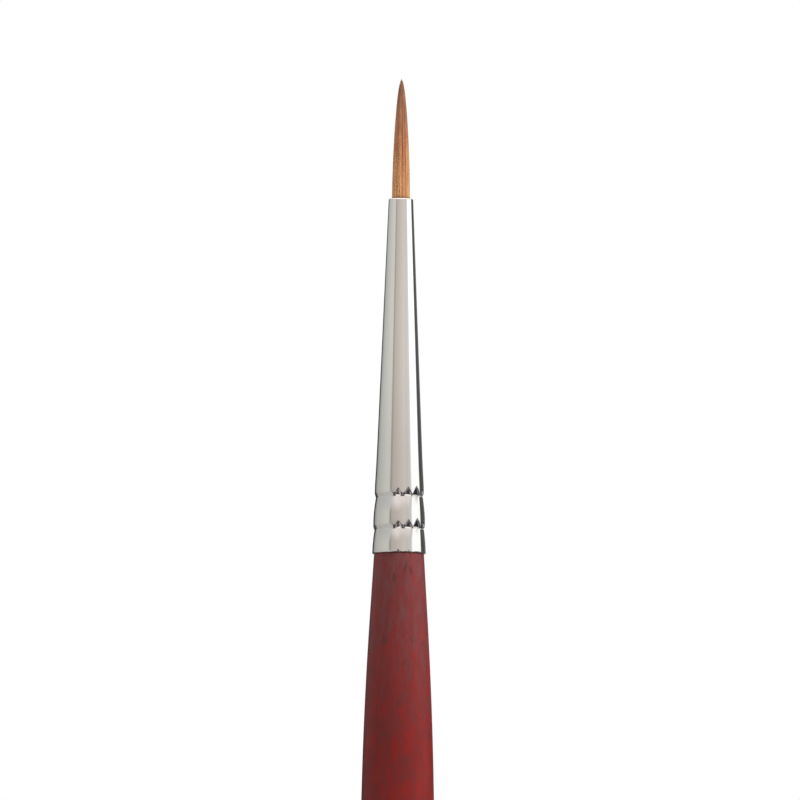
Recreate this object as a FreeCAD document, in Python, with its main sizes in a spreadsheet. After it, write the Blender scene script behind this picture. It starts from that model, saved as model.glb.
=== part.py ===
"""Fine detail brush: red lacquered wooden handle, conical crimped ferrule and a short pointed tuft.

Frame: millimetres, +Z along the brush towards the tip, origin at the bottom of the handle's tail.
Every piece is a solid of revolution about +Z. Each outline is drawn in the XZ plane of its own body.
"""
import FreeCAD, Part
import math
import os

import Sketcher

SIZES = {
    # handle
    "handle_length": 140.0,
    "belly_radius": 3.38,
    "belly_bottom": 106.0,
    "belly_top": 110.0,
    "shoulder_radius": 2.275,
    "shoulder_straight": 6.0,
    "taper_straight_top": 68.0,
    "tail_radius": 1.75,
    "coat_thickness": 0.17,
    "joint_gap": 0.02,
    "tenon_length": 14.0,
    # ferrule
    "ferrule_length": 32.5,
    "rim_radius": 2.44,
    "mouth_radius": 1.115,
    "wall": 0.28,
    "rim_lip": 0.03,
    "rim_lip_height": 0.15,
    "mouth_round": 0.10,
    "crimp_radius": 3.30,
    "lower_crimp_bottom": 0.75,
    "lower_crimp_top": 2.70,
    "upper_crimp_bottom": 3.85,
    "upper_crimp_top": 5.80,
    "tooth_count": 15,
    "tooth_width": 0.40,
    "tooth_height": 0.45,
    "tooth_depth": 0.13,
    "tooth_rise": 0.20,
    # inside the ferrule
    "film": 0.08,
    "film_bottom": 0.40,
    "film_top": 13.50,
    "plug_bottom": 19.50,
    "plug_top": 26.00,
    "root_bottom": 22.00,
    "root_radius": 0.90,
    "root_waist_radius": 0.76,
    "root_mouth_radius": 0.81,
    "root_straight_top": 29.00,
    "root_recess": 0.05,
    "thread_radius": 0.07,
    "thread_pitch": 0.13,
    "thread_turns": 5,
    "thread_bottom": 23.20,
    "fit_gap": 0.01,
    # tuft, measured up from the mouth of the ferrule
    "tuft_length": 11.00,
    "tuft_radius": 0.81,
    "pivot_height": 1.00,
    "tuft_arc": 77.0,
    "core_radius": 0.385,
    "tip_cap": 0.12,
    "outer_top_drop": 2.70,
    "outer_edge_slope": 0.25,
}


def make_sheet(doc):
    """Puts every driving dimension in a cell of its own, under its name."""
    sheet = doc.addObject("Spreadsheet::Sheet", "Sizes")
    for row, (alias, value) in enumerate(SIZES.items(), start=1):
        sheet.set(f"A{row}", alias)
        sheet.set(f"B{row}", str(value))
        sheet.setAlias(f"B{row}", alias)
    doc.recompute()
    return sheet


def sized(expression):
    """Rewrites the names of sizes in an expression as cells of the sheet."""
    words = sorted(SIZES, key=len, reverse=True)
    for number, word in enumerate(words):
        expression = expression.replace(word, f"@{number}@")
    for number, word in enumerate(words):
        expression = expression.replace(f"@{number}@", f"Sizes.{word}")
    return expression


def value_of(body, expression):
    """The number that an expression has now."""
    return float(body.evalExpression(sized(expression)))


def arc_between(start, end, radius):
    """The short arc between two points. It bulges to the right of the travel when radius is positive.

    A sketch keeps its arcs anticlockwise, so one that bulges to the left is drawn from its far end.
    """
    chord = end - start
    middle = (start + end) / 2
    across = FreeCAD.Vector(chord.y, -chord.x, 0).normalize()
    size = abs(radius)
    sagitta = size - math.sqrt(max(size**2 - (chord.Length / 2) ** 2, 0.0))
    bulge = middle + across * math.copysign(sagitta, radius)
    return Part.Arc(start, bulge, end) if radius > 0 else Part.Arc(end, bulge, start)


def draw_outline(body, name, points):
    """Draws a closed outline in the body's XZ plane.

    Each point is (x, z) or (x, z, radius). A radius makes the edge that leaves the point an arc.
    Every coordinate and radius is an expression in the sheet's names, and is bound to the sheet.
    """
    sketch = body.newObject("Sketcher::SketchObject", name)
    plane = next(f for f in body.Origin.OriginFeatures if f.Role == "XZ_Plane")
    sketch.AttachmentSupport = [(plane, "")]
    sketch.MapMode = "FlatFace"
    places = [FreeCAD.Vector(value_of(body, p[0]), value_of(body, p[1]), 0) for p in points]
    for index, point in enumerate(points):
        start, end = places[index], places[(index + 1) % len(points)]
        if len(point) == 3:
            sketch.addGeometry(arc_between(start, end, value_of(body, point[2])), False)
        else:
            sketch.addGeometry(Part.LineSegment(start, end), False)
    ends = [arc_ends(sketch.Geometry[i], places[i]) for i in range(len(points))]
    for index in range(len(points)):
        after = (index + 1) % len(points)
        sketch.addConstraint(
            Sketcher.Constraint("Coincident", index, ends[index][1], after, ends[after][0])
        )
    for index, point in enumerate(points):
        pin_point(sketch, index, ends[index][0], point[0], point[1])
        if len(point) == 3:
            size = abs(value_of(body, point[2]))
            number = sketch.addConstraint(Sketcher.Constraint("Radius", index, size))
            sketch.setExpression(f"Constraints[{number}]", sized(f"abs({point[2]})"))
    return sketch


def arc_ends(edge, start):
    """Which end of an edge the outline starts at: 1 and 2, or 2 and 1 for an arc drawn backwards."""
    if (edge.StartPoint - start).Length < (edge.EndPoint - start).Length:
        return 1, 2
    return 2, 1


def pin_point(sketch, edge, end, x_size, z_size):
    """Holds one corner of an outline at its two coordinates, which are bound to the sheet."""
    for kind, size, axis in (("DistanceX", x_size, -2), ("DistanceY", z_size, -1)):
        if size == "0":
            sketch.addConstraint(Sketcher.Constraint("PointOnObject", edge, end, axis))
            continue
        now = value_of(sketch, size)
        number = sketch.addConstraint(Sketcher.Constraint(kind, -1, 1, edge, end, now))
        sketch.setExpression(f"Constraints[{number}]", sized(size))


def turned(doc, label, outline, base="0"):
    """A body turned from one outline about the brush's axis, standing at the height base."""
    body = doc.addObject("PartDesign::Body", label)
    body.Label = label
    sketch = draw_outline(body, label + "_outline", outline)
    doc.recompute()
    turn = body.newObject("PartDesign::Revolution", label + "_turned")
    turn.Profile = sketch
    turn.ReferenceAxis = (sketch, ["V_Axis"])
    turn.Angle = 360
    body.Tip = turn
    body.Placement = FreeCAD.Placement()
    if base != "0":
        body.setExpression("Placement.Base.z", sized(base))
    doc.recompute()
    return body


def cone_radius(inset, height):
    """The ferrule's outer cone at a height above its rim, less an inset."""
    slope = "(rim_radius - mouth_radius) / ferrule_length"
    return f"rim_radius - {slope} * ({height}) - ({inset})"


def crimped_side(inset, raised="0"):
    """The ferrule's side with its two crimps, upwards, at one inset from the outside.

    raised is the height of the ferrule's rim in the frame of the outline.
    """
    side = []
    for crimp in ("lower_crimp", "upper_crimp"):
        bottom, top = f"{crimp}_bottom", f"{crimp}_top"
        side.append((cone_radius(inset, bottom), f"{raised} + {bottom}", "-crimp_radius"))
        side.append((cone_radius(inset, top), f"{raised} + {top}"))
    return side


def handle_side(inset):
    """The handle's side from the tail up to its shoulder, at one inset below the lacquer."""
    run = "(belly_bottom - taper_straight_top)"
    straight = "(taper_straight_top - tail_radius)"
    lower_arc = f"{run} * ({run} / 2 + {straight}) / (belly_radius - tail_radius)"
    drop = "(handle_length - belly_top)"
    slope = f"(2 * (belly_radius - shoulder_radius) / ({drop} + shoulder_straight))"
    upper_arc = f"({drop} - shoulder_straight) / {slope}"
    waist = f"belly_radius - {run} ^ 2 / (2 * {lower_arc})"
    shoulder = f"shoulder_radius + {slope} * shoulder_straight"
    return [
        ("0", inset, f"tail_radius - {inset}"),
        (f"tail_radius - {inset}", "tail_radius"),
        (f"{waist} - {inset}", "taper_straight_top", lower_arc),
        (f"belly_radius - {inset}", "belly_bottom"),
        (f"belly_radius - {inset}", "belly_top", upper_arc),
        (f"{shoulder} - {inset}", "handle_length - shoulder_straight"),
        (f"shoulder_radius - {inset}", "handle_length - joint_gap"),
    ]


def make_handle_core(doc):
    """Turned wooden handle, with the tenon that the ferrule is crimped on."""
    inset = "wall + film + 2 * fit_gap"
    tenon_top = cone_radius(inset, "tenon_length")
    tenon_foot = cone_radius(inset, "0")
    outline = handle_side("coat_thickness")
    outline.append((tenon_foot, "handle_length - joint_gap"))
    outline += crimped_side(inset, "handle_length")
    outline.append((tenon_top, "handle_length + tenon_length"))
    outline.append(("0", "handle_length + tenon_length"))
    return turned(doc, "handle_core", outline)


def make_handle_lacquer(doc):
    """Dipped coat: a closed skin over the whole handle, up to the ferrule's rim."""
    outside = handle_side("0")
    inside = handle_side("(coat_thickness - fit_gap)")
    backwards = []
    for index in range(len(inside) - 1, -1, -1):
        point = inside[index][:2]
        arc = inside[index - 1][2:] if index > 0 else ()
        backwards.append(point + tuple(f"-({radius})" for radius in arc))
    return turned(doc, "handle_lacquer", outside + backwards)


def make_ferrule(doc):
    """Seamless drawn cone with a rounded mouth, a rim lip and two toothed crimp rings."""
    outline = [
        (cone_radius("wall", "0"), "0"),
        ("rim_radius + rim_lip", "0"),
        ("rim_radius + rim_lip", "rim_lip_height"),
        (cone_radius("0", "2 * rim_lip_height"), "2 * rim_lip_height"),
    ]
    outline += crimped_side("0")
    outline += [
        (cone_radius("0", "ferrule_length - mouth_round"), "ferrule_length - mouth_round", "mouth_round"),
        ("mouth_radius - mouth_round", "ferrule_length"),
        ("mouth_radius - wall", "ferrule_length"),
    ]
    inside = crimped_side("wall")
    for index in (3, 1):
        top, bottom = inside[index], inside[index - 1]
        outline.append(top + ("crimp_radius",))
        outline.append(bottom[:2])
    body = turned(doc, "ferrule", outline, "handle_length")
    for crimp in ("lower_crimp", "upper_crimp"):
        add_tooth_ring(doc, body, crimp)
    return body


def add_tooth_ring(doc, body, crimp):
    """Presses a ring of triangular tooth marks, points up, into a crimp's upper edge."""
    foot = f"{crimp}_top - tooth_rise"
    sketch = body.newObject("Sketcher::SketchObject", crimp + "_tooth")
    plane = next(f for f in body.Origin.OriginFeatures if f.Role == "XZ_Plane")
    sketch.AttachmentSupport = [(plane, "")]
    sketch.MapMode = "FlatFace"
    sketch.setExpression("AttachmentOffset.Base.z", sized("rim_radius"))
    low = value_of(body, foot)
    high = low + value_of(body, "tooth_height")
    half = value_of(body, "tooth_width") / 2
    corners = [FreeCAD.Vector(*c, 0) for c in ((-half, low), (half, low), (0, high))]
    for index, corner in enumerate(corners):
        sketch.addGeometry(Part.LineSegment(corner, corners[(index + 1) % 3]), False)
    for index in range(3):
        sketch.addConstraint(Sketcher.Constraint("Coincident", index, 2, (index + 1) % 3, 1))
    sketch.addConstraint(Sketcher.Constraint("Horizontal", 0))
    sketch.addConstraint(Sketcher.Constraint("PointOnObject", 2, 1, -2))
    sketch.addConstraint(Sketcher.Constraint("Equal", 1, 2))
    for kind, points, size in (
        ("DistanceX", (0, 1, 0, 2), "tooth_width"),
        ("DistanceY", (-1, 1, 0, 1), foot),
        ("DistanceY", (-1, 1, 2, 1), f"{foot} + tooth_height"),
    ):
        number = sketch.addConstraint(Sketcher.Constraint(kind, *points, value_of(body, size)))
        sketch.setExpression(f"Constraints[{number}]", sized(size))
    doc.recompute()
    before = body.Shape.Volume
    pocket = body.newObject("PartDesign::Pocket", crimp + "_mark")
    pocket.Profile = sketch
    cone_drop = f"rim_radius - ({cone_radius('0', foot)})"
    pocket.setExpression("Length", sized(f"{cone_drop} + tooth_depth"))
    doc.recompute()
    ring = body.newObject("PartDesign::PolarPattern", crimp + "_marks")
    ring.Originals = [pocket]
    axis = next(f for f in body.Origin.OriginFeatures if f.Role == "Z_Axis")
    ring.Axis = (axis, [""])
    ring.Angle = 360
    ring.setExpression("Occurrences", sized("tooth_count"))
    body.Tip = ring
    doc.recompute()
    if body.Shape.Volume >= before:
        raise RuntimeError(f"the tooth marks of {crimp} cut nothing")


def make_tenon_cement(doc):
    """Film of cement between the tenon and the crimped ferrule."""
    outer, inner = "wall + fit_gap", "wall + film + fit_gap"
    outline = [
        (cone_radius(inner, "film_bottom"), "film_bottom"),
        (cone_radius(outer, "film_bottom"), "film_bottom"),
    ]
    outline += crimped_side(outer)
    outline += [
        (cone_radius(outer, "film_top"), "film_top"),
        (cone_radius(inner, "film_top"), "film_top"),
    ]
    inside = crimped_side(inner)
    for index in (3, 1):
        outline.append(inside[index] + ("crimp_radius",))
        outline.append(inside[index - 1][:2])
    return turned(doc, "tenon_cement", outline, "handle_length")


def make_resin_plug(doc):
    """Cured resin: a cup that fills the ferrule round the bound root."""
    bore = "wall + fit_gap"
    cavity = "root_radius + fit_gap"
    outline = [
        ("0", "plug_bottom"),
        (cone_radius(bore, "plug_bottom"), "plug_bottom"),
        (cone_radius(bore, "plug_top"), "plug_top"),
        (cavity, "plug_top"),
        (cavity, "root_bottom - fit_gap"),
        ("0", "root_bottom - fit_gap"),
    ]
    return turned(doc, "resin_plug", outline, "handle_length")


def make_tuft_root(doc):
    """Root end of the filament bundle, waisted where the thread is wound."""
    winding = "thread_pitch * thread_turns"
    outline = [
        ("0", "root_bottom"),
        ("root_radius", "root_bottom"),
        ("root_radius", "thread_bottom - 2 * thread_radius"),
        ("root_waist_radius", "thread_bottom - thread_radius / 2"),
        ("root_waist_radius", f"thread_bottom + {winding} + thread_radius / 2"),
        ("root_radius", f"thread_bottom + {winding} + 2 * thread_radius"),
        ("root_radius", "root_straight_top"),
        ("root_mouth_radius", "ferrule_length - root_recess"),
        ("0", "ferrule_length - root_recess"),
    ]
    return turned(doc, "tuft_root", outline, "handle_length")


def make_binding_thread(doc):
    """Thread wound round the root in turns that press against each other."""
    inside = "root_waist_radius + fit_gap"
    turns = int(value_of(doc.getObject("tuft_root"), "thread_turns"))
    outline = []
    for turn in range(turns):
        low = f"thread_bottom + {turn} * thread_pitch"
        outline.append((f"{inside} + thread_radius", low, "thread_radius"))
    top = f"thread_bottom + {turns} * thread_pitch"
    outline.append((f"{inside} + thread_radius", top))
    outline.append((inside, top))
    outline.append((inside, "thread_bottom"))
    return turned(doc, "binding_thread", outline, "handle_length")


def tuft_radius_at(drop):
    """The tuft's outside at a distance below its tip: one long arc, upright at the pivot."""
    return f"tuft_radius - (tuft_length - pivot_height - ({drop})) ^ 2 / (2 * tuft_arc)"


def make_tuft_core(doc):
    """Longest filaments, which make the point. The ball foot lets the tuft turn over the mouth."""
    foot = "pivot_height - sqrt(tuft_radius ^ 2 - core_radius ^ 2)"
    meets = "(tuft_length - pivot_height - sqrt(2 * tuft_arc * (tuft_radius - core_radius)))"
    cap_edge = tuft_radius_at("tip_cap")
    cap_ball = f"(({cap_edge}) ^ 2 + tip_cap ^ 2) / (2 * tip_cap)"
    outline = [
        ("0", "pivot_height - tuft_radius", "tuft_radius"),
        ("core_radius", foot),
        ("core_radius", f"tuft_length - {meets}", "tuft_arc"),
        (cap_edge, "tuft_length - tip_cap", cap_ball),
        ("0", "tuft_length"),
    ]
    return turned(doc, "tuft_core", outline, "handle_length + ferrule_length")


def make_tuft_outer(doc):
    """Shorter filaments round the core, which make the belly of the tuft."""
    bore = "(core_radius + fit_gap)"
    foot = f"pivot_height - sqrt(tuft_radius ^ 2 - {bore} ^ 2)"
    outline = [
        (bore, foot, "tuft_radius"),
        ("tuft_radius", "pivot_height", "tuft_arc"),
        (tuft_radius_at("outer_top_drop"), "tuft_length - outer_top_drop"),
        (bore, "tuft_length - outer_top_drop + outer_edge_slope"),
    ]
    return turned(doc, "tuft_outer", outline, "handle_length + ferrule_length")


def check_all(doc, bodies):
    """Stops before anything is written if the document or one of its pieces is unsound."""
    for thing in doc.Objects:
        if "Invalid" in thing.State or "Error" in thing.State:
            raise RuntimeError(f"{thing.Name} failed: {thing.State}")
    for body in bodies:
        shape = body.Shape
        if shape.isNull() or not shape.isValid() or len(shape.Solids) != 1:
            raise RuntimeError(f"{body.Label} is not one valid solid")
        print(f"{body.Label:16} {shape.Volume:10.3f} mm3")


def main():
    doc = FreeCAD.newDocument("detail_brush")
    make_sheet(doc)
    makers = (
        make_handle_core,
        make_handle_lacquer,
        make_ferrule,
        make_tenon_cement,
        make_resin_plug,
        make_tuft_root,
        make_binding_thread,
        make_tuft_core,
        make_tuft_outer,
    )
    bodies = [make(doc) for make in makers]
    doc.recompute()
    check_all(doc, bodies)
    os.makedirs("parts", exist_ok=True)
    for body in bodies:
        body.Shape.exportStep(f"parts/{body.Label}.step")


main()
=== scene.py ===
"""Looks of the fine detail brush: lacquered handle, plated ferrule with toothed crimps, tuft of filaments.

Everything is in metres, in the frame of the CAD model: +Z along the brush, tip up, tail at the origin.
"""
import math

import bpy
import numpy as np
from mathutils import Matrix, Vector


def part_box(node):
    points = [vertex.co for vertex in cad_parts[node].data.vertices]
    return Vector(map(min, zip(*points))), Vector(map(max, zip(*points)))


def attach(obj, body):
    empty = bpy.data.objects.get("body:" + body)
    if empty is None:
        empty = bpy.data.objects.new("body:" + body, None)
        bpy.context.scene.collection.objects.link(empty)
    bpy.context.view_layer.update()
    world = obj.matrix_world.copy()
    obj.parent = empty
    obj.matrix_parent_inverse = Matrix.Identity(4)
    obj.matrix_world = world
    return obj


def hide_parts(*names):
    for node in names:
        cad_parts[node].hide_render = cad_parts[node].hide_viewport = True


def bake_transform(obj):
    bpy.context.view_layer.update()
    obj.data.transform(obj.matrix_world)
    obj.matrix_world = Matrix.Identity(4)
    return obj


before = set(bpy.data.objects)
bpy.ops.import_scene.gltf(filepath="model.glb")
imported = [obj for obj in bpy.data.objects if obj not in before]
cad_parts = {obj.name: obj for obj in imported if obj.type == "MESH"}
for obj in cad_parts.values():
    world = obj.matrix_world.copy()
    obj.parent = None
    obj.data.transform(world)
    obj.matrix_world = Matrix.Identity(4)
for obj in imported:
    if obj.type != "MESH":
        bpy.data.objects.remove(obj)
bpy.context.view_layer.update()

MM = 0.001
FULL_TURN = 2 * math.pi

# Heights of the brush's stations, from the CAD model.
TAIL_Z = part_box("handle_lacquer")[0].z
RIM_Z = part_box("ferrule")[0].z
MOUTH_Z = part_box("ferrule")[1].z
TIP_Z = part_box("tuft_core")[1].z
FERRULE_LENGTH = MOUTH_Z - RIM_Z
TUFT_LENGTH = TIP_Z - MOUTH_Z

# Handle outline, as the CAD model has it.
BELLY_RADIUS = 3.38 * MM
BELLY_BOTTOM = 106.0 * MM
BELLY_TOP = 110.0 * MM
SHOULDER_RADIUS = 2.275 * MM
SHOULDER_STRAIGHT = 6.0 * MM
TAPER_STRAIGHT_TOP = 68.0 * MM
TAIL_RADIUS = 1.75 * MM
COAT_THICKNESS = 0.17 * MM
JOINT_GAP = 0.02 * MM
COAT_EDGE = 0.06 * MM
HANDLE_COLUMNS = 128
TAIL_ROWS = 16
SIDE_ROWS = 140
EDGE_ROWS = 6

# Ferrule outline. The rim is rolled: radius past the rim radius and height, at each step of the roll.
RIM_RADIUS = 2.44 * MM
MOUTH_RADIUS = 1.115 * MM
WALL = 0.28 * MM
RIM_ROLL = (
    (-0.07 * MM, 0.0),
    (-0.03 * MM, 0.012 * MM),
    (-0.005 * MM, 0.04 * MM),
    (0.005 * MM, 0.08 * MM),
    (0.0, 0.13 * MM),
)
MOUTH_ROUND = 0.11 * MM
MOUTH_ROUND_ROWS = 8
BORE_EDGE = (0.02 * MM, 0.03 * MM)
BORE_ROWS = 24

# Ferrule mesh: columns for each tooth, and rings close together from above the rim to past the crimps.
FERRULE_COLUMNS = 24
FERRULE_ROW = 0.04 * MM
FINE_BOTTOM = 0.18 * MM
FINE_MARGIN = 0.20 * MM
PLAIN_ROWS = 36

# Crimps: heights above the rim of the creases that end them, and the shape above and below a crease.
# The lowest ring of teeth is cut off by the rim, so only its points show.
TEETH = 15
TOOTH_TURN = math.radians(-3)
CREASES = (-0.18 * MM, 2.33 * MM, 5.28 * MM)
TOOTH_TALL = 0.92 * MM
TOOTH_WIDE = 1.25
TOOTH_EDGE = 0.30
FACET_SLOPE = 0.26
STEP_TALL = 0.26 * MM
STEP_DEPTH = 0.070 * MM
CREASE_LIP = 0.09 * MM
DOME_DEPTH = 0.145 * MM
DOME_TALL = 1.90 * MM
RIDGE_RISE = 0.50
BEAD_HEIGHT = 0.034 * MM
BEAD_REACH = 1.15 * MM
BEAD_START = -0.22 * MM

# How deep the teeth of each crimp bite: the mean, the swing round the brush, and the azimuth in degrees
# of the deepest. At the rim only the teeth near the front bite. A tooth that bites less than the first
# number of BITE_FADE has no facet, and its facet is whole from the second number above that.
BITES = ((-1.40, 2.00, 3.0), (0.58, 0.36, 80.0), (0.58, 0.36, 80.0))
BITE_LEAST = 0.30
BITE_FADE = (0.44, 0.18)

# Small unevenness of the teeth and creases: its size, and the step in radians from tooth to tooth and
# from crimp to crimp. A crease also sags between the teeth.
BITE_UNEVEN = 0.04
UNEVEN_TOOTH = 2.4
UNEVEN_ROW = 1.7
CREASE_SAG = 0.07 * MM
CREASE_WAVE = 0.03 * MM
WAVE_TOOTH = 3.1

# Tuft: its outside, and the filaments packed in rings.
TUFT_RADIUS = 0.825 * MM
TUFT_SIDE = 1.55
TUFT_POINT = 0.56
TUFT_RINGS = 11
FILAMENT_RADIUS = 0.040 * MM
FILAMENT_OVERLAP = 0.92
FILAMENT_SIDES = 6
FILAMENT_STEPS = 22
FILAMENT_ROOT = 0.9 * MM
SWAY = 0.008 * MM

# How far single filaments differ: place in the ring, missing length inside and further out, waves of
# sway, turn round the brush and thickness.
RANDOM_SEED = 7
PLACE_SPREAD = 0.12
SHORTER = (0.03, 0.14)
SWAY_WAVES = (0.4, 1.3)
TURN_SPREAD = 0.03
THICKNESS_SPREAD = (0.92, 1.12)

# The point attribute that keeps each filament's straight shape, so that its streaks bend with it.
STRAIGHT = "straight_place"

# Tone of the tuft round the brush: azimuth from the front and half width in degrees, and tone group.
# This share of the filaments there takes the group, and the others are drawn from all groups.
STREAKS = (
    (-80, 14, "umber"),
    (-48, 10, "tan"),
    (-30, 6, "sand"),
    (-14, 8, "tan"),
    (10, 9, "russet"),
    (31, 9, "gold"),
    (58, 16, "sand"),
    (84, 8, "umber"),
)
STREAK_SHARE = 0.74
DRAW_FINENESS = 997

# Colours of each tone group at the root, the belly and the tip.
GROUPS = {
    "gold": ((0.53, 0.285, 0.107), (0.53, 0.245, 0.088), (0.33, 0.160, 0.082)),
    "tan": ((0.43, 0.220, 0.088), (0.36, 0.160, 0.070), (0.28, 0.126, 0.068)),
    "sand": ((0.34, 0.180, 0.078), (0.29, 0.126, 0.057), (0.24, 0.106, 0.060)),
    "russet": ((0.37, 0.158, 0.074), (0.25, 0.078, 0.040), (0.24, 0.094, 0.054)),
    "umber": ((0.32, 0.155, 0.068), (0.21, 0.086, 0.043), (0.22, 0.094, 0.054)),
}

# Camera: the view's width at the brush, its distance, and how it is aimed.
VIEW_WIDTH = 72.94 * MM
VIEW_DISTANCE = 1.30
VIEW_ELEVATION = math.radians(-5.0)
VIEW_ROLL = math.radians(0.316)
AIM = Vector((0.015 * MM, 0.0, 154.07 * MM))

# Key light, a large soft disk to the right.
KEY_AZIMUTH = math.radians(66)
KEY_ELEVATION = math.radians(25)
KEY_DISTANCE = 0.70
KEY_SIZE = 0.60
KEY_POWER = 7.3

# Fill light on the tuft, from the left and slightly below.
FILL_AZIMUTH = math.radians(-72)
FILL_ELEVATION = math.radians(-8)
FILL_DISTANCE = 0.25
FILL_CONE = math.radians(7.5)
FILL_SOFTNESS = 0.04
FILL_POWER = 10.0

# Floor.
FLOOR_HALF = 30.0
FLOOR_COLOUR = (0.93, 0.955, 1.0)


def make_camera():
    """Long lens, slightly below the brush and looking up at it."""
    data = bpy.data.cameras.new("camera")
    data.sensor_width = 36.0
    data.lens = data.sensor_width * VIEW_DISTANCE / VIEW_WIDTH
    data.clip_start = 0.05
    data.clip_end = 50.0
    camera = bpy.data.objects.new("camera", data)
    bpy.context.scene.collection.objects.link(camera)
    back = Vector((0.0, -math.cos(VIEW_ELEVATION), math.sin(VIEW_ELEVATION)))
    turn = (-back).to_track_quat("-Z", "Y").to_matrix().to_4x4()
    camera.matrix_world = (
        Matrix.Translation(AIM + back * VIEW_DISTANCE) @ turn @ Matrix.Rotation(VIEW_ROLL, 4, "Z")
    )
    bpy.context.scene.camera = camera


def add(tree, kind, settings=None):
    """A new node with its own settings."""
    made = tree.nodes.new(kind)
    for key, value in (settings or {}).items():
        setattr(made, key, value)
    return made


def ramp(tree, factor, stops):
    """A colour ramp through (position, colour) stops. Gives its colour output."""
    made = add(tree, "ShaderNodeValToRGB")
    tree.links.new(factor, made.inputs[0])
    band = made.color_ramp
    while len(band.elements) < len(stops):
        band.elements.new(1.0)
    for element, (position, colour) in zip(band.elements, stops):
        element.position = position
        element.color = (*colour, 1.0)
    return made.outputs["Color"]


def grey(value):
    """A neutral colour."""
    return (value, value, value)


def mix(tree, factor, first, second, blend="MIX"):
    """A colour mix of two outputs or colours."""
    made = tree.nodes.new("ShaderNodeMix")
    made.data_type = "RGBA"
    made.blend_type = blend
    for index, value in ((0, factor), (6, first), (7, second)):
        if isinstance(value, bpy.types.NodeSocket):
            tree.links.new(value, made.inputs[index])
        elif index == 0:
            made.inputs[0].default_value = value
        else:
            made.inputs[index].default_value = (*value, 1.0)
    return made.outputs[2]


def math_node(tree, operation, first, second=0.0):
    """A sum, product or other operation on two outputs or numbers."""
    made = add(tree, "ShaderNodeMath", {"operation": operation})
    for index, value in enumerate((first, second)):
        if isinstance(value, bpy.types.NodeSocket):
            tree.links.new(value, made.inputs[index])
        else:
            made.inputs[index].default_value = value
    return made.outputs[0]


def map_range(tree, value, low, high, out_low=0.0, out_high=1.0, kind="SMOOTHSTEP"):
    """An output remapped from one range to another, and held at its ends."""
    made = add(tree, "ShaderNodeMapRange", {"interpolation_type": kind})
    tree.links.new(value, made.inputs["Value"])
    limits = {"From Min": low, "From Max": high, "To Min": out_low, "To Max": out_high}
    for name, number in limits.items():
        made.inputs[name].default_value = number
    return made.outputs["Result"]


def place_of(tree):
    """The shaded point in object space, or in the straight tuft where the mesh keeps that."""
    place = add(tree, "ShaderNodeTexCoord").outputs["Object"]
    straight = add(tree, "ShaderNodeAttribute", {"attribute_name": STRAIGHT})
    stored = math_node(tree, "GREATER_THAN", straight.outputs["Fac"], 0.0)
    return mix(tree, stored, place, straight.outputs["Vector"])


def noise(tree, scale, stretch=(1.0, 1.0, 1.0), detail=3.0, roughness=0.5, distortion=0.0, place=None):
    """Noise in object space, or by a given place.

    scale is in cells per millimetre, and stretch multiplies it along X, Y and Z.
    """
    place = place or add(tree, "ShaderNodeTexCoord").outputs["Object"]
    sized = add(tree, "ShaderNodeMapping")
    tree.links.new(place, sized.inputs["Vector"])
    sized.inputs["Scale"].default_value = [s * scale / MM for s in stretch]
    made = add(tree, "ShaderNodeTexNoise")
    tree.links.new(sized.outputs[0], made.inputs["Vector"])
    made.inputs["Scale"].default_value = 1.0
    made.inputs["Detail"].default_value = detail
    made.inputs["Roughness"].default_value = roughness
    made.inputs["Distortion"].default_value = distortion
    return made.outputs[0]


def height_of(tree, place=None):
    """The height of the shaded point along the brush, in metres."""
    place = place or add(tree, "ShaderNodeTexCoord").outputs["Object"]
    split = add(tree, "ShaderNodeSeparateXYZ")
    tree.links.new(place, split.inputs[0])
    return split.outputs["Z"]


def new_material(name, constants=None):
    """A material, its node tree and its shader, with constant values set on the shader's own sockets."""
    material = bpy.data.materials.new(name)
    material.use_nodes = True
    shader = material.node_tree.nodes["Principled BSDF"]
    for key, value in (constants or {}).items():
        shader.inputs[key].default_value = value
    return material, material.node_tree, shader


def bump(tree, shader, height, distance, strength=1.0):
    """Fine relief on a shader, too small to be in the mesh."""
    made = add(tree, "ShaderNodeBump")
    tree.links.new(height, made.inputs["Height"])
    made.inputs["Distance"].default_value = distance
    made.inputs["Strength"].default_value = strength
    tree.links.new(made.outputs[0], shader.inputs["Normal"])


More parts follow.
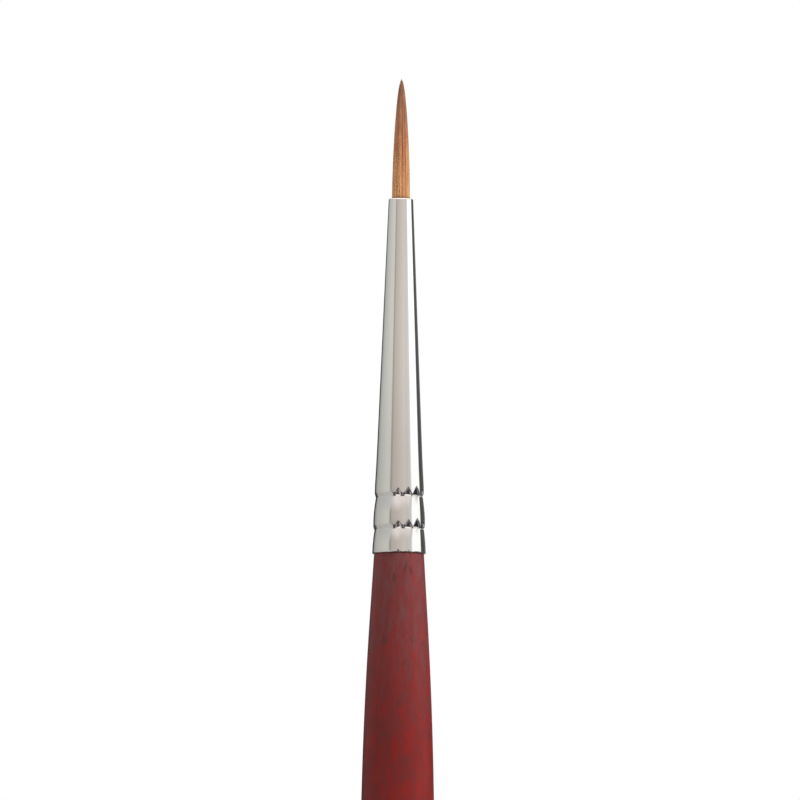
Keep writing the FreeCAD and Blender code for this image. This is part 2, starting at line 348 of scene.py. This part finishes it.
def lacquer_material():
    """Satin dark red lacquer: clouded and streaked, with a patchy grey painted reflection by the ferrule
    and soft dark spots.
    """
    material, tree, shader = new_material("red_lacquer", {"Specular IOR Level": 0.21})
    cloud = noise(tree, 0.80, (1.0, 1.0, 0.50), detail=4.0, roughness=0.65)
    reds = [
        (0.34, (0.086, 0.0085, 0.0074)),
        (0.50, (0.112, 0.0060, 0.0050)),
        (0.66, (0.140, 0.0054, 0.0038)),
    ]
    base = ramp(tree, cloud, reds)
    grain = noise(tree, 2.4, (1.0, 1.0, 0.20), detail=2.0, roughness=0.6)
    grained = mix(tree, map_range(tree, grain, 0.44, 0.66, 0.0, 0.50), base, (0.076, 0.0120, 0.0130))
    # Painted reflection: the base colour turns patchily grey towards the ferrule, standing in for the grey
    # surroundings mirrored by the shoulder as it slopes up.
    near_ferrule = map_range(tree, height_of(tree), RIM_Z - 20 * MM, RIM_Z, 0.0, 0.80)
    painted_reflection = math_node(tree, "MULTIPLY", near_ferrule, map_range(tree, cloud, 0.3, 0.7, 1.15, 0.65))
    patches = noise(tree, 1.9, (1.0, 1.0, 0.30), detail=2.0, roughness=0.6)
    painted_reflection = math_node(tree, "MULTIPLY", painted_reflection, map_range(tree, patches, 0.36, 0.62, 1.12, 0.62))
    with_painted_reflection = mix(tree, painted_reflection, grained, (0.098, 0.030, 0.031))
    spots = noise(tree, 1.15, (1.0, 1.0, 0.45), detail=1.0)
    spotted = mix(tree, map_range(tree, spots, 0.63, 0.76, 0.0, 0.62), with_painted_reflection, (0.042, 0.0120, 0.0140))
    tree.links.new(spotted, shader.inputs["Base Color"])
    tree.links.new(map_range(tree, cloud, 0.3, 0.7, 0.50, 0.38), shader.inputs["Roughness"])
    relief = noise(tree, 2.2, (1.0, 1.0, 0.35), detail=3.0)
    bump(tree, shader, relief, 0.006 * MM, 0.5)
    return material


def plated_material():
    """Bright nickel plate: nearly a mirror, with faint drawing lines, and a little duller by the crimps."""
    material, tree, shader = new_material("nickel_plate", {"Metallic": 1.0})
    tone = noise(tree, 0.25, (1.0, 1.0, 0.3), detail=2.0)
    colour = ramp(tree, tone, [(0.3, (0.88, 0.87, 0.85)), (0.7, (0.93, 0.92, 0.90))])
    above_crimps = map_range(tree, height_of(tree), RIM_Z + 5 * MM, RIM_Z + 18 * MM)
    duller = mix(tree, 1.0, colour, grey(0.90), "MULTIPLY")
    tree.links.new(mix(tree, above_crimps, duller, colour), shader.inputs["Base Color"])
    lines = noise(tree, 9.0, (1.0, 1.0, 0.03), detail=3.0)
    tree.links.new(map_range(tree, lines, 0.3, 0.75, 0.045, 0.11), shader.inputs["Roughness"])
    bump(tree, shader, lines, 0.0006 * MM, 0.4)
    return material


def filament_material(name, root, belly, tip):
    """Fine filament: its colour runs from root to tip, with streaks along it, and darkens with painted
    shade at the mouth and inside the ferrule.
    """
    material, tree, shader = new_material(name, {"Specular IOR Level": 0.38})
    place = place_of(tree)
    along = map_range(tree, height_of(tree, place), MOUTH_Z, TIP_Z, kind="LINEAR")
    # The first stop is painted shade: at the mouth and below it the colour falls to a quarter of the root
    # colour, for the shade inside the ferrule.
    tones = [
        (0.0, tuple(0.25 * c for c in root)),
        (0.018, root),
        (0.45, belly),
        (0.78, tip),
        (1.0, tuple(1.1 * c for c in tip)),
    ]
    colour = ramp(tree, along, tones)
    streak = noise(tree, 5.0, (1.0, 1.0, 0.09), detail=2.0, roughness=0.6, place=place)
    shade = ramp(tree, streak, [(0.30, grey(0.66)), (0.55, grey(1.0)), (0.75, grey(1.20))])
    tree.links.new(mix(tree, 1.0, colour, shade, "MULTIPLY"), shader.inputs["Base Color"])
    fine = noise(tree, 14.0, (1.0, 1.0, 0.25), detail=1.0, place=place)
    tree.links.new(map_range(tree, fine, 0.3, 0.7, 0.34, 0.52), shader.inputs["Roughness"])
    return material


def wood_material():
    """Bare turned hardwood: growth rings and fibres along the handle."""
    material, tree, shader = new_material("turned_wood", {"Specular IOR Level": 0.3})
    rings = noise(tree, 0.9, (1.0, 0.35, 0.02), detail=4.0, distortion=0.6)
    fibres = noise(tree, 6.0, (1.0, 1.0, 0.05), detail=3.0)
    browns = [(0.3, (0.42, 0.24, 0.11)), (0.55, (0.60, 0.40, 0.22)), (0.75, (0.68, 0.49, 0.30))]
    colour = ramp(tree, rings, browns)
    shaded = mix(tree, map_range(tree, fibres, 0.4, 0.8, 0.0, 0.5), colour, (0.34, 0.19, 0.09))
    tree.links.new(shaded, shader.inputs["Base Color"])
    tree.links.new(map_range(tree, fibres, 0.3, 0.7, 0.55, 0.75), shader.inputs["Roughness"])
    bump(tree, shader, fibres, 0.01 * MM, 0.5)
    return material


def mottled_material(name, dark, light, scale, rough):
    """Plain cast or cured material with a little variation in colour and gloss."""
    material, tree, shader = new_material(name)
    tone = noise(tree, scale, detail=4.0)
    tree.links.new(ramp(tree, tone, [(0.3, dark), (0.7, light)]), shader.inputs["Base Color"])
    tree.links.new(map_range(tree, tone, 0.3, 0.7, rough[0], rough[1]), shader.inputs["Roughness"])
    bump(tree, shader, tone, 0.01 * MM, 0.4)
    return material


def thread_material():
    """Waxed thread: fine slanted strands round each turn."""
    material, tree, shader = new_material("thread")
    strands = noise(tree, 12.0, (1.0, 1.0, 2.0), detail=2.0)
    colour = ramp(tree, strands, [(0.3, (0.50, 0.46, 0.38)), (0.7, (0.80, 0.77, 0.68))])
    tree.links.new(colour, shader.inputs["Base Color"])
    tree.links.new(map_range(tree, strands, 0.3, 0.7, 0.5, 0.7), shader.inputs["Roughness"])
    bump(tree, shader, strands, 0.01 * MM, 0.6)
    return material


def make_object(name, vertices, faces, material):
    """A smooth-shaded mesh object in the row frame."""
    mesh = bpy.data.meshes.new(name)
    mesh.from_pydata(vertices, [], faces)
    mesh.polygons.foreach_set("use_smooth", [True] * len(mesh.polygons))
    mesh.materials.append(material)
    mesh.update()
    made = bpy.data.objects.new(name, mesh)
    bpy.context.scene.collection.objects.link(made)
    return made


def turned_shell(name, outline, columns, material, shift=None):
    """A closed skin turned from a closed outline of (radius, height) points, listed anticlockwise.

    shift(row, height, angles) gives how far each ring is pressed in round the brush.
    Points on the axis become one vertex each.
    """
    angles = np.arange(columns) * FULL_TURN / columns
    vertices, rings = [], []
    for row, (radius, height) in enumerate(outline):
        first = len(vertices)
        if radius == 0.0:
            vertices.append((0.0, 0.0, height))
            rings.append([first] * columns)
            continue
        radii = radius - (shift(row, height, angles) if shift else np.zeros(columns))
        vertices += list(zip(radii * np.sin(angles), -radii * np.cos(angles), np.full(columns, height)))
        rings.append(list(range(first, first + columns)))
    faces = []
    for low, high in zip(rings, rings[1:] + rings[:1]):
        if len(set(low)) == 1 and len(set(high)) == 1:
            continue
        for column in range(columns):
            after = (column + 1) % columns
            corners = (low[column], low[after], high[after], high[column])
            faces.append(tuple(dict.fromkeys(corners)))
    return make_object(name, vertices, faces, material)


def handle_radius(height):
    """The handle's outside: straight taper, long arc, belly, arc and straight shoulder."""
    run = BELLY_BOTTOM - TAPER_STRAIGHT_TOP
    lower_arc = run * (run / 2 + TAPER_STRAIGHT_TOP - TAIL_RADIUS) / (BELLY_RADIUS - TAIL_RADIUS)
    drop = RIM_Z - BELLY_TOP
    slope = 2 * (BELLY_RADIUS - SHOULDER_RADIUS) / (drop + SHOULDER_STRAIGHT)
    upper_arc = (drop - SHOULDER_STRAIGHT) / slope
    if height < TAIL_RADIUS:
        return math.sqrt(max(TAIL_RADIUS**2 - (TAIL_RADIUS - height) ** 2, 0.0))
    if height < TAPER_STRAIGHT_TOP:
        return TAIL_RADIUS + (height - TAIL_RADIUS) * run / lower_arc
    if height < BELLY_BOTTOM:
        return BELLY_RADIUS - (BELLY_BOTTOM - height) ** 2 / (2 * lower_arc)
    if height < BELLY_TOP:
        return BELLY_RADIUS
    if height < RIM_Z - SHOULDER_STRAIGHT:
        return BELLY_RADIUS - (height - BELLY_TOP) ** 2 / (2 * upper_arc)
    return SHOULDER_RADIUS + (RIM_Z - height) * slope


def make_handle(material):
    """The lacquer skin, closed inside and out, with a softly rounded edge under the ferrule."""
    top = RIM_Z - JOINT_GAP
    tail = [TAIL_RADIUS * (1 - math.cos(a)) for a in np.linspace(0.0, math.pi / 2, TAIL_ROWS)]
    side = list(np.linspace(TAIL_RADIUS, top - COAT_EDGE, SIDE_ROWS))[1:]
    outline = [(handle_radius(z) if z > 0 else 0.0, TAIL_Z + z) for z in tail + side]
    edge_radius = handle_radius(top) - COAT_EDGE
    for angle in np.linspace(0.0, math.pi / 2, EDGE_ROWS)[1:]:
        edge_height = top - COAT_EDGE + COAT_EDGE * math.sin(angle)
        outline.append((edge_radius + COAT_EDGE * math.cos(angle), edge_height))
    inside = [(r - COAT_THICKNESS, z) for r, z in outline if r > COAT_THICKNESS and z < top - COAT_EDGE]
    inside = [(r, z) for r, z in inside[::4] if z > COAT_THICKNESS]
    outline.append((handle_radius(top) - COAT_THICKNESS, top))
    outline += inside[::-1]
    outline.append((0.0, COAT_THICKNESS))
    made = turned_shell("lacquered_handle", outline, HANDLE_COLUMNS, material)
    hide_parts("handle_lacquer")
    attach(made, "brush")


def smooth(value):
    """Smooth step from 0 to 1."""
    t = np.clip(value, 0.0, 1.0)
    return t * t * (3 - 2 * t)


def tooth_press(above, beside, bite):
    """Depth of one crimp at a height above its crease.

    beside is 0 at the middle of a tooth and 1 half way to the next, and bite is how hard it is pressed.
    Each tooth presses a flat facet in, pointed at the top, wider and deeper downwards. Between the teeth
    there is only a low step. A crease ends both, and a dome rises again below it.
    """
    tall = TOOTH_TALL * bite
    reach = np.clip(tall - above, 0.0, tall)
    half = TOOTH_WIDE * bite**2 * reach / tall
    facet = FACET_SLOPE * reach * smooth((half - beside) / TOOTH_EDGE + 0.5)
    facet = facet * smooth((bite - BITE_FADE[0]) / BITE_FADE[1])
    step = STEP_DEPTH * (1.1 - bite) * smooth(1 - above / STEP_TALL)
    shallow = 1 - RIDGE_RISE * bite * smooth(beside)
    risen = np.clip(-above / DOME_TALL, 0.0, 1.0)
    dome = DOME_DEPTH * shallow * (1 - risen) ** 2
    past = smooth(-above / CREASE_LIP)
    return (1 - past) * np.maximum(facet, step) + past * dome


def crimp_depth(above_rim, angles):
    """How far the toothed crimps press the ferrule in, at a height and at angles round it."""
    place = (angles - TOOTH_TURN) * TEETH / FULL_TURN
    tooth = np.round(place)
    beside = 2 * np.abs(place - tooth)
    depth = np.zeros_like(angles)
    for row, crease in enumerate(CREASES):
        uneven = np.sin(UNEVEN_TOOTH * tooth + UNEVEN_ROW * row)
        mean, swing, deepest = BITES[row]
        bite = mean + swing * np.cos(angles - math.radians(deepest)) + BITE_UNEVEN * uneven
        bite = np.maximum(bite, BITE_LEAST)
        waved = crease - CREASE_SAG * beside**2 + CREASE_WAVE * np.cos(WAVE_TOOTH * tooth + row)
        depth = np.maximum(depth, tooth_press(above_rim - waved, beside, bite))
    for crease in CREASES[1:]:
        climb = max(above_rim - crease - BEAD_START, 0.0) / BEAD_REACH
        depth = depth - BEAD_HEIGHT * (climb * math.exp(1 - climb)) ** 2
    return depth


def cone_radius(above_rim):
    """The plain cone's outside at a height above the rim."""
    return RIM_RADIUS - (RIM_RADIUS - MOUTH_RADIUS) * above_rim / FERRULE_LENGTH


def ferrule_heights():
    """Ring heights above the rim: close together over the crimps and far apart on the plain cone."""
    cone_top = FERRULE_LENGTH - MOUTH_ROUND
    fine_top = CREASES[-1] + TOOTH_TALL + FINE_MARGIN
    fine = np.arange(FINE_BOTTOM, fine_top, FERRULE_ROW)
    plain = np.linspace(fine_top, cone_top - 2 * FERRULE_ROW, PLAIN_ROWS)
    return list(fine) + list(plain) + [cone_top - FERRULE_ROW, cone_top]


def make_ferrule(material):
    """The plated cone: rolled rim, two toothed crimps, plain cone, rounded mouth and the bore behind it."""
    outline = [(RIM_RADIUS - WALL, 0.0)]
    outline += [(RIM_RADIUS + past, height) for past, height in RIM_ROLL]
    outline += [(cone_radius(h), h) for h in ferrule_heights()]
    for angle in np.linspace(0.0, math.pi / 2, MOUTH_ROUND_ROWS)[1:]:
        round_radius = cone_radius(FERRULE_LENGTH) - MOUTH_ROUND * (1 - math.cos(angle))
        outline.append((round_radius, FERRULE_LENGTH - MOUTH_ROUND * (1 - math.sin(angle))))
    outer_rows = len(outline)
    outline.append((MOUTH_RADIUS - WALL + BORE_EDGE[0], FERRULE_LENGTH))
    outline.append((MOUTH_RADIUS - WALL, FERRULE_LENGTH - BORE_EDGE[1]))
    bore = np.linspace(FERRULE_LENGTH, 0.0, BORE_ROWS)[1:-1]
    outline += [(cone_radius(h) - WALL, h) for h in bore]
    outline = [(radius, RIM_Z + height) for radius, height in outline]

    def pressed(row, height, angles):
        """The crimps' depth on the outside, and its mean round the brush in the bore."""
        depth = crimp_depth(height - RIM_Z, angles)
        return depth if row < outer_rows else np.full_like(angles, depth.mean())

    made = turned_shell("ferrule_shell", outline, TEETH * FERRULE_COLUMNS, material, pressed)
    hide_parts("ferrule")
    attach(made, "brush")


def tuft_radius(height):
    """The tuft's outside at a height above the mouth: nearly straight sides that close on a fine point."""
    down = np.clip((TUFT_LENGTH - height) / TUFT_LENGTH, 0.0, 1.0)
    return TUFT_RADIUS * (1 - (1 - down) ** TUFT_SIDE) ** TUFT_POINT


def filament(share, azimuth, length, phase, radius):
    """The centre line of one filament and its thickness at each step.

    share is how far out in the bundle it stands, from 0 to 1. phase is its waves of sway, where they
    start, and its turn round the brush. It thins to a point over its free length.
    """
    steps = np.linspace(0.0, 1.0, FILAMENT_STEPS)
    heights = -FILAMENT_ROOT + (length + FILAMENT_ROOT) * steps ** 0.92
    free = np.clip(heights / length, 0.0, 1.0)
    thickness = radius * np.sqrt(np.clip(1 - free**2.6, 0.0, 1.0)) * (1 - 0.35 * free**2)
    thickness[-1] = 0.10 * radius
    out = share * (tuft_radius(heights) - thickness)
    sway = SWAY * np.sin(FULL_TURN * (free * phase[0] + phase[1])) * free
    turn = azimuth + phase[2] * free
    x = (out + sway) * np.sin(turn)
    y = -(out + sway) * np.cos(turn)
    return np.column_stack((x, y, MOUTH_Z + heights)), thickness


def tube(points, thickness, vertices, faces):
    """Adds a closed tapered tube round a line of points that rises nearly straight up."""
    first = len(vertices)
    angles = np.arange(FILAMENT_SIDES) * FULL_TURN / FILAMENT_SIDES
    for (x, y, z), size in zip(points, thickness):
        for angle in angles:
            vertices.append((x + size * math.cos(angle), y + size * math.sin(angle), z))
    for row in range(len(points) - 1):
        low = first + row * FILAMENT_SIDES
        high = low + FILAMENT_SIDES
        for side in range(FILAMENT_SIDES):
            after = (side + 1) % FILAMENT_SIDES
            faces.append((low + side, low + after, high + after, high + side))
    last = first + (len(points) - 1) * FILAMENT_SIDES
    faces.append(tuple(range(first + FILAMENT_SIDES - 1, first - 1, -1)))
    faces.append(tuple(range(last, last + FILAMENT_SIDES)))


def tone_of(azimuth, draw):
    """The tone group of a filament at an azimuth, with some filaments drawn at random."""
    degrees = (math.degrees(azimuth) + 180) % 360 - 180
    near = [name for middle, half, name in STREAKS if abs(degrees - middle) <= half]
    if near and draw < STREAK_SHARE:
        return near[0]
    names = list(GROUPS)
    return names[int(draw * DRAW_FINENESS) % len(names)]


def make_tuft():
    """Single filaments, packed in rings at the mouth and drawn together to the point, in five tones."""
    draw = np.random.default_rng(RANDOM_SEED)
    parts = {name: ([], []) for name in GROUPS}
    pitch = 2 * FILAMENT_RADIUS * FILAMENT_OVERLAP
    for share in np.linspace(0.0, 1.0, TUFT_RINGS):
        count = max(1, round(FULL_TURN * share * (TUFT_RADIUS - FILAMENT_RADIUS) / pitch))
        for place in draw.uniform() + np.arange(count):
            azimuth = (place + draw.normal(0.0, PLACE_SPREAD)) * FULL_TURN / count
            length = TUFT_LENGTH * (1.0 - draw.uniform(0.0, SHORTER[0] + SHORTER[1] * share**2))
            phase = (draw.uniform(*SWAY_WAVES), draw.uniform(0.0, 1.0), draw.normal(0.0, TURN_SPREAD))
            radius = FILAMENT_RADIUS * draw.uniform(*THICKNESS_SPREAD)
            points, thickness = filament(share, azimuth, length, phase, radius)
            tube(points, thickness, *parts[tone_of(azimuth, draw.uniform())])
    stands_for = {"tan": "tuft_outer", "umber": "tuft_core"}
    for name, (vertices, faces) in parts.items():
        material = filament_material("filament_" + name, *GROUPS[name])
        made = make_object("tuft_filaments_" + name, vertices, faces, material)
        straight = made.data.attributes.new(STRAIGHT, "FLOAT_VECTOR", "POINT")
        straight.data.foreach_set("vector", np.array(vertices, dtype=float).ravel())
        if name in stands_for:
            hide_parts(stands_for[name])
        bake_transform(made)


def finish_nodes():
    """Materials of the CAD nodes that stay: the wood, and what is sealed inside the ferrule."""
    finishes = {
        "handle_core": wood_material(),
        "tenon_cement": mottled_material("cement", (0.42, 0.34, 0.22), (0.60, 0.51, 0.36), 2.0, (0.6, 0.8)),
        "resin_plug": mottled_material("resin", (0.30, 0.15, 0.03), (0.50, 0.30, 0.08), 1.2, (0.08, 0.2)),
        # The tuft's root shows only through gaps at the mouth; it takes the filaments' darkest stop,
        # painted shade for the depth of the ferrule.
        "tuft_root": filament_material("filament_root", *GROUPS["umber"]),
        "binding_thread": thread_material(),
    }
    for node, material in finishes.items():
        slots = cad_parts[node].data.materials
        slots.clear()
        slots.append(material)


def make_floor():
    """A plain pale floor."""
    material, tree, shader = new_material("floor", {"Roughness": 0.9, "Specular IOR Level": 0.1})
    shader.inputs["Base Color"].default_value = (*FLOOR_COLOUR, 1.0)
    half = FLOOR_HALF
    corners = [(-half, -half, 0.0), (half, -half, 0.0), (half, half, 0.0), (-half, half, 0.0)]
    floor = make_object("floor", corners, [(0, 1, 2, 3)], material)
    floor.visible_glossy = False


# What stands round the brush, in layers of colours by azimuth in degrees: 0 is the front and 90 the
# right-hand side. WALLS are pale cards at the brush's height, with dark gaps behind. BELOW has dark
# cards with light gaps, which darken the crimps' teeth and the rim. HIGHER is a soft box over the front.
WALLS = (
    (-180, grey(0.05)),
    (-149, grey(0.05)),
    (-141, grey(0.30)),
    (-130, grey(0.40)),
    (-121, (0.49, 0.49, 0.465)),
    (-60, (0.65, 0.65, 0.61)),
    (-46, (0.64, 0.62, 0.575)),
    (-43, (0.36, 0.33, 0.29)),
    (-38, (0.41, 0.375, 0.335)),
    (-32, (0.52, 0.475, 0.435)),
    (27, (0.70, 0.64, 0.595)),
    (34, (0.63, 0.605, 0.60)),
    (52, (0.68, 0.66, 0.645)),
    (57, (0.80, 0.79, 0.78)),
    (61, grey(1.25)),
    (108, grey(1.25)),
    (113, grey(0.10)),
    (130, grey(0.075)),
    (150, grey(0.14)),
    (180, grey(0.18)),
)
BELOW = (
    (-180, grey(0.05)),
    (-140, grey(0.06)),
    (-126, (0.46, 0.45, 0.43)),
    (-42, (0.56, 0.54, 0.52)),
    (-33, (0.095, 0.070, 0.070)),
    (13, (0.085, 0.065, 0.070)),
    (16, (0.50, 0.47, 0.45)),
    (20, (0.50, 0.47, 0.45)),
    (23, (0.060, 0.048, 0.060)),
    (58, (0.040, 0.036, 0.050)),
    (62, grey(0.80)),
    (71, grey(0.80)),
    (75, (0.022, 0.022, 0.032)),
    (104, (0.022, 0.022, 0.032)),
    (108, grey(0.36)),
    (116, grey(0.36)),
    (120, (0.022, 0.022, 0.032)),
    (146, (0.022, 0.022, 0.032)),
    (154, (0.30, 0.30, 0.29)),
    (170, (0.30, 0.30, 0.29)),
    (180, grey(0.05)),
)
HIGHER = (
    (-180, grey(0.45)),
    (-128, grey(0.45)),
    (-121, (0.50, 0.50, 0.48)),
    (-60, (0.55, 0.545, 0.525)),
    (-40, (0.66, 0.66, 0.665)),
    (-20, (0.88, 0.80, 0.79)),
    (0, (0.92, 0.83, 0.80)),
    (23, (1.04, 0.97, 0.95)),
    (40, (0.90, 0.83, 0.81)),
    (52, (0.86, 0.78, 0.75)),
    (64, (0.46, 0.40, 0.37)),
    (80, (0.34, 0.29, 0.25)),
    (96, (0.40, 0.37, 0.34)),
    (104, grey(0.85)),
    (180, grey(0.60)),
)
OVERHEAD = (1.30, 1.24, 1.12)

# The elevations in degrees over which each layer takes over from the one below it. HIGHER's lower edge
# isn't level: its elevation is taken along a tilted direction.
WALLS_RISE = (-12, 9)
HIGHER_RISE = (12, 21)
OVERHEAD_RISE = (28, 42)
HIGHER_TILT = (-0.04, 0.03, 1.0)


def layer(tree, turn, stops):
    """The tone of one layer of the surroundings, by azimuth."""
    return ramp(tree, turn, [((azimuth + 180) / 360, colour) for azimuth, colour in stops])


def rise_between(tree, rise, span):
    """0 below and 1 above a span of elevations in degrees."""
    low, high = (math.sin(math.radians(angle)) for angle in span)
    return map_range(tree, rise, low, high)


def make_world():
    """Soft studio light: pale cards and a soft box round the brush, and a white backdrop for the camera."""
    world = bpy.data.worlds.new("studio")
    world.use_nodes = True
    bpy.context.scene.world = world
    tree = world.node_tree
    place = add(tree, "ShaderNodeTexCoord")
    split = add(tree, "ShaderNodeSeparateXYZ")
    tree.links.new(place.outputs["Generated"], split.inputs[0])
    forward = math_node(tree, "MULTIPLY", split.outputs["Y"], -1.0)
    azimuth = math_node(tree, "ARCTAN2", split.outputs["X"], forward)
    turn = math_node(tree, "ADD", math_node(tree, "DIVIDE", azimuth, FULL_TURN), 0.5)
    rise = split.outputs["Z"]
    in_walls = rise_between(tree, rise, WALLS_RISE)
    light = mix(tree, in_walls, layer(tree, turn, BELOW), layer(tree, turn, WALLS))
    tilted = add(tree, "ShaderNodeVectorMath", {"operation": "DOT_PRODUCT"})
    tree.links.new(place.outputs["Generated"], tilted.inputs[0])
    tilted.inputs[1].default_value = HIGHER_TILT
    in_higher = rise_between(tree, tilted.outputs["Value"], HIGHER_RISE)
    light = mix(tree, in_higher, light, layer(tree, turn, HIGHER))
    light = mix(tree, rise_between(tree, rise, OVERHEAD_RISE), light, OVERHEAD)
    path = add(tree, "ShaderNodeLightPath")
    shown = mix(tree, path.outputs["Is Camera Ray"], light, grey(1.0))
    background = tree.nodes["Background"]
    tree.links.new(shown, background.inputs["Color"])


def place_light(data, azimuth, elevation, distance, target):
    """Puts a lamp at a direction and distance from its target, facing it. The plate doesn't mirror it."""
    light = bpy.data.objects.new(data.name, data)
    bpy.context.scene.collection.objects.link(light)
    level = math.cos(elevation)
    back = Vector((level * math.sin(azimuth), -level * math.cos(azimuth), math.sin(elevation)))
    turn = back.to_track_quat("Z", "Y").to_matrix().to_4x4()
    light.matrix_world = Matrix.Translation(target + back * distance) @ turn
    light.visible_glossy = False
    light.visible_camera = False


def make_lights():
    """A large soft key light to the right of the camera, and a narrow fill on the tuft."""
    key = bpy.data.lights.new("key", "AREA")
    key.shape = "DISK"
    key.size = KEY_SIZE
    key.energy = KEY_POWER
    place_light(key, KEY_AZIMUTH, KEY_ELEVATION, KEY_DISTANCE, AIM)
    fill = bpy.data.lights.new("tuft_fill", "SPOT")
    fill.spot_size = FILL_CONE
    fill.spot_blend = 1.0
    fill.shadow_soft_size = FILL_SOFTNESS
    fill.energy = FILL_POWER
    middle = Vector((0.0, 0.0, (MOUTH_Z + TIP_Z) / 2))
    place_light(fill, FILL_AZIMUTH, FILL_ELEVATION, FILL_DISTANCE, middle)


make_camera()
bpy.context.scene.view_settings.view_transform = "Standard"
make_handle(lacquer_material())
make_ferrule(plated_material())
make_tuft()
finish_nodes()
make_floor()
make_world()
make_lights()
